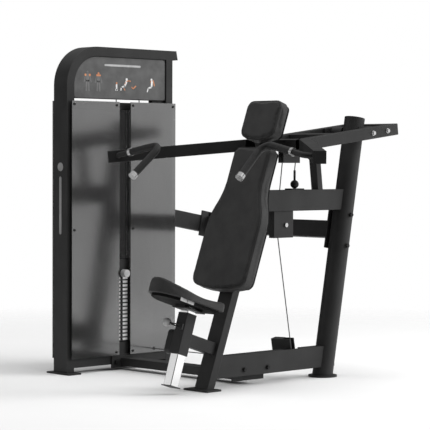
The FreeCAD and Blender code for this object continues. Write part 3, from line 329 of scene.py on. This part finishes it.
def world_mesh(item):
    """Mesh data of an object as it stands, in the row frame."""
    bm = bmesh.new()
    bm.from_mesh(item.data)
    bm.transform(item.matrix_world)
    bmesh.ops.remove_doubles(bm, verts=bm.verts, dist=1e-5)
    return bm


def modified(item):
    """Apply all of an object's modifiers to its mesh."""
    graph = bpy.context.evaluated_depsgraph_get()
    mesh = bpy.data.meshes.new_from_object(item.evaluated_get(graph))
    item.modifiers.clear()
    old = item.data
    item.data = mesh
    bpy.data.meshes.remove(old)


def inflate(item, pin_test):
    """Blow the cover up with cloth pressure, and keep each point's movement within the caps."""
    rest = [(v.co.copy(), v.normal.copy()) for v in item.data.vertices]
    group = item.vertex_groups.new(name="held")
    for vertex in item.data.vertices:
        if pin_test(vertex.co):
            group.add([vertex.index], 1.0, "REPLACE")
    cloth = item.modifiers.new("cover", "CLOTH")
    cloth.settings.use_pressure = True
    cloth.settings.uniform_pressure_force = 4.0
    cloth.settings.effector_weights.gravity = 0.0
    cloth.settings.quality = 5
    cloth.settings.tension_stiffness = 12.0
    cloth.settings.compression_stiffness = 12.0
    cloth.settings.bending_stiffness = 2.0
    cloth.settings.vertex_group_mass = "held"
    cloth.point_cache.frame_start = 1
    cloth.point_cache.frame_end = CLOTH_FRAMES
    for number in range(1, CLOTH_FRAMES + 1):
        SCENE.frame_set(number)
    modified(item)
    SCENE.frame_set(1)
    for vertex, (start, normal) in zip(item.data.vertices, rest):
        swell = (vertex.co - start).dot(normal)
        vertex.co = start + normal * min(max(swell, -SWELL_IN), SWELL_OUT)
    item.vertex_groups.clear()


def front_loop(item, front):
    """Ordered outline of a pad's flat front face, whose outward normal is front."""
    bm = world_mesh(item)
    bm.normal_update()
    top = max(v.co.dot(front) for v in bm.verts)
    rim = []
    for edge in bm.edges:
        flat = all(abs(v.co.dot(front) - top) < 1e-4 for v in edge.verts)
        faces = [face.normal.dot(front) > 0.99 for face in edge.link_faces]
        if flat and faces.count(True) == 1:
            rim.append((edge.verts[0].index, edge.verts[1].index))
    points = {v.index: v.co.copy() for v in bm.verts}
    bm.free()
    follow = {}
    for a, b in rim:
        follow.setdefault(a, []).append(b)
        follow.setdefault(b, []).append(a)
    start = min(follow)
    order = [start, follow[start][0]]
    while True:
        choices = [n for n in follow[order[-1]] if n != order[-2]]
        if not choices or choices[0] == start:
            break
        order.append(choices[0])
    return [points[i] for i in order]


def resampled(loop, step):
    """Closed loop with points at an even spacing."""
    lengths = [(loop[i] - loop[i - 1]).length for i in range(len(loop))]
    total = sum(lengths)
    count = int(total / step)
    result = []
    side, walked = 0, lengths[0]
    for i in range(count):
        target = total * i / count
        while walked < target:
            side += 1
            walked += lengths[side]
        share = 1 - (walked - target) / max(lengths[side], 1e-9)
        result.append(loop[side - 1].lerp(loop[side], share))
    return result


def inset_loop(loop, front, distance):
    """Loop moved inwards within its own plane."""
    centre = sum(loop, Vector()) / len(loop)
    count = len(loop)
    result = []
    for i, point in enumerate(loop):
        along = (loop[(i + 1) % count] - loop[i - 1]).normalized()
        inward = front.cross(along)
        if inward.dot(centre - point) < 0:
            inward = -inward
        result.append(point + inward * distance)
    for _ in range(SMOOTHING_PASSES):
        result = [(result[i - 1] + result[i] * 2 + result[(i + 1) % count]) / 4
                  for i in range(count)]
    return result


def closed_tube(name, loop, radius, material, body, sides=8):
    """Round bead along a closed loop."""
    bm = bmesh.new()
    count = len(loop)
    rings = []
    for i, point in enumerate(loop):
        along = (loop[(i + 1) % count] - loop[i - 1]).normalized()
        side = along.orthogonal().normalized()
        if i:
            side = (previous - along * previous.dot(along)).normalized()
        previous = side
        up = along.cross(side)
        ring = []
        for k in range(sides):
            turn = 2 * pi * k / sides
            ring.append(bm.verts.new(point + (side * cos(turn) + up * sin(turn)) * radius))
        rings.append(ring)
    for i in range(count):
        first, second = rings[i - 1], rings[i]
        shift = 0
        if i == 0:
            shift = min(range(sides), key=lambda s: (first[0].co - second[s].co).length)
        for k in range(sides):
            bm.faces.new((first[k], first[(k + 1) % sides],
                          second[(k + 1 + shift) % sides], second[(k + shift) % sides]))
    return from_bmesh(name, bm, material, body, smooth=True)


def cushion(node, name, front, body):
    """Crowned leather pad that stands for a plain CAD pad, with a piped seam round its front."""
    source = NODES[node]
    outline = resampled(front_loop(source, -front), OUTLINE_STEP)
    bm = world_mesh(source)
    bm.normal_update()
    back = min(v.co.dot(front) for v in bm.verts)
    centre = sum((v.co for v in bm.verts), Vector()) / len(bm.verts)
    size = max((v.co - centre).length for v in bm.verts)
    for vertex in bm.verts:
        offset = vertex.co - centre
        flat = offset - front * offset.dot(front)
        vertex.co -= flat * (START_SHRINK / max(size * SHRINK_SHARE, 1e-6))
        if vertex.co.dot(front) - back > FRONT_ZONE:
            vertex.co -= front * START_SHRINK
    mesh = bpy.data.meshes.new(name)
    bm.to_mesh(mesh)
    bm.free()
    item = new_object(name, mesh, MATERIALS["upholstery"], body)
    remesh = item.modifiers.new("skin", "REMESH")
    remesh.mode = "VOXEL"
    remesh.voxel_size = VOXEL
    soften = item.modifiers.new("soften", "SMOOTH")
    soften.iterations = 7
    soften.factor = 0.5
    modified(item)
    inflate(item, lambda point: point.dot(front) - back < HELD_ZONE)
    for vertex in item.data.vertices:
        vertex.co += front * max(0.0, back + BOARD_CLEARANCE - vertex.co.dot(front))
    seam = inset_loop(outline, front, SEAM_INSET)
    press_seam(item, seam, front, back)
    round_off = item.modifiers.new("fine", "SUBSURF")
    round_off.levels = 1
    round_off.render_levels = 1
    modified(item)
    for face in item.data.polygons:
        face.use_smooth = True
    if not item.data.materials:
        item.data.materials.append(MATERIALS["upholstery"])
    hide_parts(node)
    closed_tube(name + "_piping", surface_loop(item, seam, front, SEAM_LIFT), PIPING_RADIUS,
                MATERIALS["upholstery"], body)


def surface_loop(item, loop, front, lift):
    """Loop dropped onto the front of a cushion."""
    above, reach = 0.1, 0.3
    tree = BVHTree.FromObject(item, bpy.context.evaluated_depsgraph_get())
    result = []
    for point in loop:
        hit = tree.ray_cast(point + front * above, -front, reach)[0]
        result.append((hit if hit else point) + front * lift)
    return result


def press_seam(item, seam, front, back):
    """Pull the cover in along the seam, where the front panel is sewn to the side band."""
    bm = bmesh.new()
    bm.from_mesh(item.data)
    count = len(seam)
    sides = [(i, (i + 1) % count, (i + 1) % count) for i in range(count)]
    lines = BVHTree.FromPolygons(seam, sides, epsilon=0.001)
    for vertex in bm.verts:
        if vertex.co.dot(front) - back < FRONT_ZONE:
            continue
        level = vertex.co + front * (seam[0].dot(front) - vertex.co.dot(front))
        near = lines.find_nearest(level)
        if near[0] is None:
            continue
        gap = (near[0] - level).length
        if gap < SEAM_WIDE:
            share = (cos(pi * gap / SEAM_WIDE) + 1) / 2
            vertex.co -= front * SEAM_DEEP * share
    bm.to_mesh(item.data)
    bm.free()


def wide_face_normal(node):
    """Outward normal of the largest flat face of a pad, turned towards the user."""
    bm = world_mesh(NODES[node])
    bm.normal_update()
    sums = {}
    for face in bm.faces:
        key = tuple(round(abs(x), 2) for x in face.normal)
        normal = face.normal if face.normal.x < 0 else -face.normal
        sums[key] = sums.get(key, Vector()) + normal * face.calc_area()
    bm.free()
    return max(sums.values(), key=lambda total: total.length).normalized()


BACK_FRONT = wide_face_normal("back_pad")
SEAT_TOP = Vector(JOINTS["seat_height"]["axis"]).normalized()
cushion("back_pad", "back_cushion", BACK_FRONT, "frame")
cushion("head_pad", "head_cushion", BACK_FRONT, "frame")
cushion("seat_pad", "seat_cushion", SEAT_TOP, "seat")


# ---------------------------------------------------------------- cable runs, copied in place

def following_run(node):
    """Copy of a straight cable run, baked in place and left without a parent, with the CAD run
    hidden.
    """
    source = NODES[node]
    run = source.copy()
    run.data = source.data.copy()
    run.name = node + "_moving"
    run.parent = None
    run.matrix_world = source.matrix_world.copy()
    SCENE.collection.objects.link(run)
    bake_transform(run)
    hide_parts(node)


following_run("cable_front_run")
following_run("cable_anchor_run")
following_run("cable_stack_run")


# ---------------------------------------------------------------- print on the tower

SIGN_THICK = 0.3 * MM
DISC_SIDES = 20
CAP_SIDES = 6  # sides of the half circle at each end of a limb
PRINT_FACE = ((1, 0, 0), (0, -1, 0))  # across and outward, on a face turned to -Y


def disc(x, z, radius):
    """Outline of a round spot, in millimetres."""
    turns = [2 * pi * k / DISC_SIDES for k in range(DISC_SIDES)]
    return [(x + radius * cos(turn), z + radius * sin(turn)) for turn in turns]


def limb(x0, z0, x1, z1, wide):
    """Bar with round ends from one point to another."""
    turn = atan2(z1 - z0, x1 - x0)
    ends = []
    for x, z, start in ((x0, z0, turn + pi / 2), (x1, z1, turn - pi / 2)):
        for k in range(CAP_SIDES + 1):
            angle = start + pi * k / CAP_SIDES
            ends.append((x + wide / 2 * cos(angle), z + wide / 2 * sin(angle)))
    return ends


def bar(x, z, wide, high):
    """Outline of a rectangle from its lower corner."""
    return [(x, z), (x + wide, z), (x + wide, z + high), (x, z + high)]


def printed(name, shapes, material, corner, across, outward, slot):
    """Thin print on a flat face: shapes in millimetres from corner, across and upwards."""
    bm = bmesh.new()
    for shape in shapes:
        flat = [Vector(corner) + Vector(across) * (x * MM) + Vector((0, 0, z * MM))
                for x, z in shape]
        near = [bm.verts.new(p + Vector(outward) * SIGN_THICK) for p in flat]
        far = [bm.verts.new(p) for p in flat]
        bm.faces.new(near)
        bm.faces.new(far[::-1])
        for k in range(len(shape)):
            bm.faces.new((near[k - 1], near[k], far[k], far[k - 1]))
    return from_bmesh(name, bm, material, "frame")


def standing(x, foot, high):
    """Plain standing figure."""
    head = disc(x, foot + 0.93 * high, 0.065 * high)
    trunk = limb(x, foot + 0.8 * high, x, foot + 0.55 * high, 0.2 * high)
    shapes = [head, trunk]
    for side in (-1, 1):
        arm = (x + side * 0.14 * high, foot + 0.78 * high, x + side * 0.22 * high,
               foot + 0.45 * high, 0.06 * high)
        leg = (x + side * 0.06 * high, foot + 0.5 * high, x + side * 0.09 * high,
               foot + 0.04 * high, 0.09 * high)
        shapes += [limb(*arm), limb(*leg)]
    return shapes


def placard_print():
    """Plain pictograms and a bar where the heading would be, in millimetres on the placard."""
    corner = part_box("placards")[0]
    above = (corner[0], corner[1] - SIGN_THICK, corner[2])
    grey_figures = standing(85, 33, 100) + standing(155, 33, 96)
    white_figures = [
        disc(340, 97, 7), limb(338, 86, 328, 66, 12), limb(327, 63, 306, 59, 8),
        limb(305, 59, 302, 44, 7), limb(273, 68, 273, 46, 10), limb(277, 44, 268, 44, 8),
        disc(507, 101, 6.5), limb(510, 90, 507, 67, 11), limb(506, 63, 486, 59, 8),
        limb(485, 59, 479, 41, 7)]
    orange_marks = [
        disc(71, 112, 6), disc(99, 112, 6), limb(144, 112, 166, 112, 9), disc(155, 121, 6),
        limb(340, 88, 354, 92, 5), limb(354, 92, 364, 89, 5), disc(273, 77, 5),
        limb(374, 60, 382, 51, 5), limb(382, 51, 400, 66, 6), limb(322, 52, 328, 44, 4),
        limb(519, 97, 526, 72, 6), limb(500, 88, 506, 96, 4), limb(328, 74, 333, 82, 4)]
    heading = [limb(199, 164, 428, 164, 10)]
    for name, shapes, material, start in (
            ("figures_grey", grey_figures, PRINT_GREY, corner),
            ("figures_white", white_figures, PRINT_WHITE, corner),
            ("figures_orange", orange_marks, PRINT_ORANGE, above),
            ("heading_bar", heading, PRINT_LIGHT, corner)):
        printed(name, shapes, material, start, *PRINT_FACE, "placard_print")


PLATES = 17
PLATE_GAP = 0.0005


def plate_labels():
    """White strips on each weight plate, either side of its pin hole."""
    low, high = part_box("weight_plates")
    pin_low, pin_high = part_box("selector_pin")
    centre_x = (pin_low[0] + pin_high[0]) / 2
    pitch = (high[2] - low[2] + PLATE_GAP) / PLATES
    label_foot, label_high = 3.6, 11.5
    shapes = []
    for i in range(PLATES):
        foot = (i * pitch) / MM + label_foot
        shapes += [bar(-23.5, foot, 15.5, label_high), bar(8.5, foot, 31, label_high)]
    printed("plate_labels", shapes, PRINT_WHITE, (centre_x, low[1], low[2]), *PRINT_FACE,
            "cast_plate")


SEAT_LABEL_LONG = 0.040
SEAT_LABEL_HIGH = 0.016
SEAT_LABEL_SHIFTS = (0.0, 0.044)  # where its two halves start
SEAT_LABEL_START = 0.100  # before the middle of the seat board


def seat_label():
    """Light label in two halves on the near edge of the seat board."""
    along = Vector((-SEAT_TOP.z, 0.0, SEAT_TOP.x)) * -1
    board_low, board_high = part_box("seat_board")
    centre = Vector(((board_low[0] + board_high[0]) / 2, board_low[1],
                     (board_low[2] + board_high[2]) / 2))
    start = centre - along * SEAT_LABEL_START
    outside, inside = Vector((0, -0.0012, 0)), Vector((0, 0.002, 0))
    drop = SEAT_TOP * (SEAT_LABEL_HIGH / 2)
    bm = bmesh.new()
    for shift in SEAT_LABEL_SHIFTS:
        near, far = start + along * shift, start + along * (shift + SEAT_LABEL_LONG)
        corners = [near, far, far + SEAT_TOP * SEAT_LABEL_HIGH, near + SEAT_TOP * SEAT_LABEL_HIGH]
        lifted = [bm.verts.new(p - drop + outside) for p in corners]
        flat = [bm.verts.new(p - drop + inside) for p in corners]
        bm.faces.new(lifted)
        bm.faces.new(flat[::-1])
        for k in range(4):
            bm.faces.new((lifted[k - 1], lifted[k], flat[k], flat[k - 1]))
    from_bmesh("seat_label", bm, PRINT_LIGHT, "seat")


def column_mark():
    """Plain mark in place of the maker's: a disc over an upright bar."""
    low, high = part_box("tower_bent_tube")
    foot = (low[0], (low[1] + high[1]) / 2, 0.0)
    shapes = [disc(0, 1010, 21), limb(0, 690, 0, 955, 17)]
    printed("column_mark", shapes, MARK_GREY, foot, (0, -1, 0), (-1, 0, 0), "black_paint")


# Painted shade: a dark rubber bead fills the gap round the front placard, where the gap's shade
# falls.
GAP_SHADE_OUTSIDE = 2.0 * MM  # its middle outside the placard's edge
GAP_SHADE_BEHIND = 1.2 * MM  # and behind the placard's face
GAP_SHADE_RADIUS = 1.9 * MM


def placard_gap_shade():
    """Dark bead in the gap between the front placard and the tube round it: painted shade for
    that gap.
    """
    front = Vector((0.0, -1.0, 0.0))
    outline = resampled(front_loop(NODES["placards"], front), OUTLINE_STEP)
    edge = [point - front * GAP_SHADE_BEHIND for point in inset_loop(outline, front, -GAP_SHADE_OUTSIDE)]
    closed_tube("placard_gap_shade", edge, GAP_SHADE_RADIUS, MATERIALS["grip_rubber"], "frame")


placard_gap_shade()
placard_print()
plate_labels()
seat_label()
column_mark()


# ---------------------------------------------------------------- floor, lights and camera

FLOOR_RADIUS = 9.0
FLOOR_MIDDLE = (0.5, 0.4, -0.0004)
FLOOR_FADE = (1.3, 4.2)  # distances from the middle where the floor starts and ends to fade


def floor():
    """White floor that fades into the white surroundings."""
    bpy.ops.mesh.primitive_circle_add(vertices=96, radius=FLOOR_RADIUS, fill_type="NGON",
                                      location=FLOOR_MIDDLE)
    ground = bpy.context.object
    ground.name = "floor"
    shader = Shader("floor_white", grey(0.76), 0.8, specular=0.15)
    shader.tint(shader.noise(1.5, 3.0), grey(0.755), grey(0.77))
    length = shader.add("ShaderNodeVectorMath")
    length.operation = "LENGTH"
    shader.link(shader.place, length.inputs[0])
    fade = shader.ramp(length.outputs["Value"], 1.0, 0.0, *FLOOR_FADE)
    shader.link(fade, shader.principled.inputs["Alpha"])
    ground.data.materials.append(shader.material)


# Broad lights of the surroundings: direction, cosines where each starts and is full, strength.
LOBES = (
    ((0.72, -0.66, 0.12), 0.40, 0.95, 1.3),
    ((0.0, 0.0, 1.0), 0.2, 0.95, 0.9),
    ((-0.70, 0.70, 0.02), 0.86, 0.98, 0.95),
)
FILL = 0.02


def world():
    """White surroundings for the eye, and a soft studio for light."""
    SCENE.world = bpy.data.worlds.new("studio")
    SCENE.world.use_nodes = True
    tree = SCENE.world.node_tree
    nodes, links = tree.nodes, tree.links
    nodes.clear()
    place = nodes.new("ShaderNodeTexCoord")

    def lobe(towards, start, end, strength):
        """Light from a broad patch of the surroundings."""
        dot = nodes.new("ShaderNodeVectorMath")
        dot.operation = "DOT_PRODUCT"
        dot.inputs[1].default_value = Vector(towards).normalized()
        links.new(place.outputs["Generated"], dot.inputs[0])
        level = nodes.new("ShaderNodeMapRange")
        level.interpolation_type = "SMOOTHSTEP"
        limits = {"From Min": start, "From Max": end, "To Min": 0.0, "To Max": strength}
        for name, value in limits.items():
            level.inputs[name].default_value = value
        links.new(dot.outputs["Value"], level.inputs["Value"])
        return level.outputs["Result"]

    total = None
    for towards, start, end, strength in LOBES:
        level = nodes.new("ShaderNodeMath")
        level.operation = "ADD"
        level.inputs[1].default_value = FILL
        links.new(lobe(towards, start, end, strength), level.inputs[0])
        if total:
            links.new(total.outputs["Value"], level.inputs[1])
        total = level
    soft = nodes.new("ShaderNodeBackground")
    links.new(total.outputs["Value"], soft.inputs["Strength"])
    plain = nodes.new("ShaderNodeBackground")
    plain.inputs["Strength"].default_value = 1.0
    plain.inputs["Color"].default_value = (1.0, 1.0, 1.0, 1.0)
    eye = nodes.new("ShaderNodeLightPath")
    mix = nodes.new("ShaderNodeMixShader")
    links.new(eye.outputs["Is Camera Ray"], mix.inputs["Fac"])
    links.new(soft.outputs["Background"], mix.inputs[1])
    links.new(plain.outputs["Background"], mix.inputs[2])
    out = nodes.new("ShaderNodeOutputWorld")
    links.new(mix.outputs["Shader"], out.inputs["Surface"])


def area_light(name, place, target, wide, high, power):
    """Rectangular lamp that leaves no reflection of itself on glossy covers."""
    data = bpy.data.lights.new(name, "AREA")
    data.shape = "RECTANGLE"
    data.size = wide
    data.size_y = high
    data.energy = power
    lamp = bpy.data.objects.new(name, data)
    lamp.location = place
    lamp.rotation_euler = (Vector(target) - Vector(place)).to_track_quat("-Z", "Y").to_euler()
    lamp.visible_glossy = False
    SCENE.collection.objects.link(lamp)


CAMERA_PLACE = (-5.7062, -5.9355, 1.0475)
CAMERA_AZIMUTH = 44.323  # degrees from +Y towards +X
CAMERA_DOWN = 1.739
CAMERA_ROLL = 0.185
CAMERA_LENS = 152.61


def camera():
    """Long lens, level with the machine's upper half, at its front corner."""
    azimuth, down, roll = (radians(x) for x in (CAMERA_AZIMUTH, CAMERA_DOWN, CAMERA_ROLL))
    forward = Vector((sin(azimuth) * cos(down), cos(azimuth) * cos(down), -sin(down)))
    level = Vector((cos(azimuth), -sin(azimuth), 0.0))
    upward = level.cross(forward)
    right = level * cos(roll) + upward * sin(roll)
    above = upward * cos(roll) - level * sin(roll)
    data = bpy.data.cameras.new("camera")
    data.sensor_width = 36.0
    data.lens = CAMERA_LENS
    data.clip_end = 60.0
    item = bpy.data.objects.new("camera", data)
    item.matrix_world = Matrix.Translation(CAMERA_PLACE) @ Matrix((
        (right.x, above.x, -forward.x), (right.y, above.y, -forward.y),
        (right.z, above.z, -forward.z))).to_4x4()
    SCENE.collection.objects.link(item)
    SCENE.camera = item


CENTRE = (0.45, 0.35, 0.8)  # middle of the machine
floor()
world()
area_light("key", (4.6, -3.6, 2.5), CENTRE, 3.4, 2.6, 330)
area_light("top", (0.2, 0.2, 4.8), CENTRE, 3.2, 3.2, 130)
camera()
SCENE.view_settings.view_transform = "Standard"
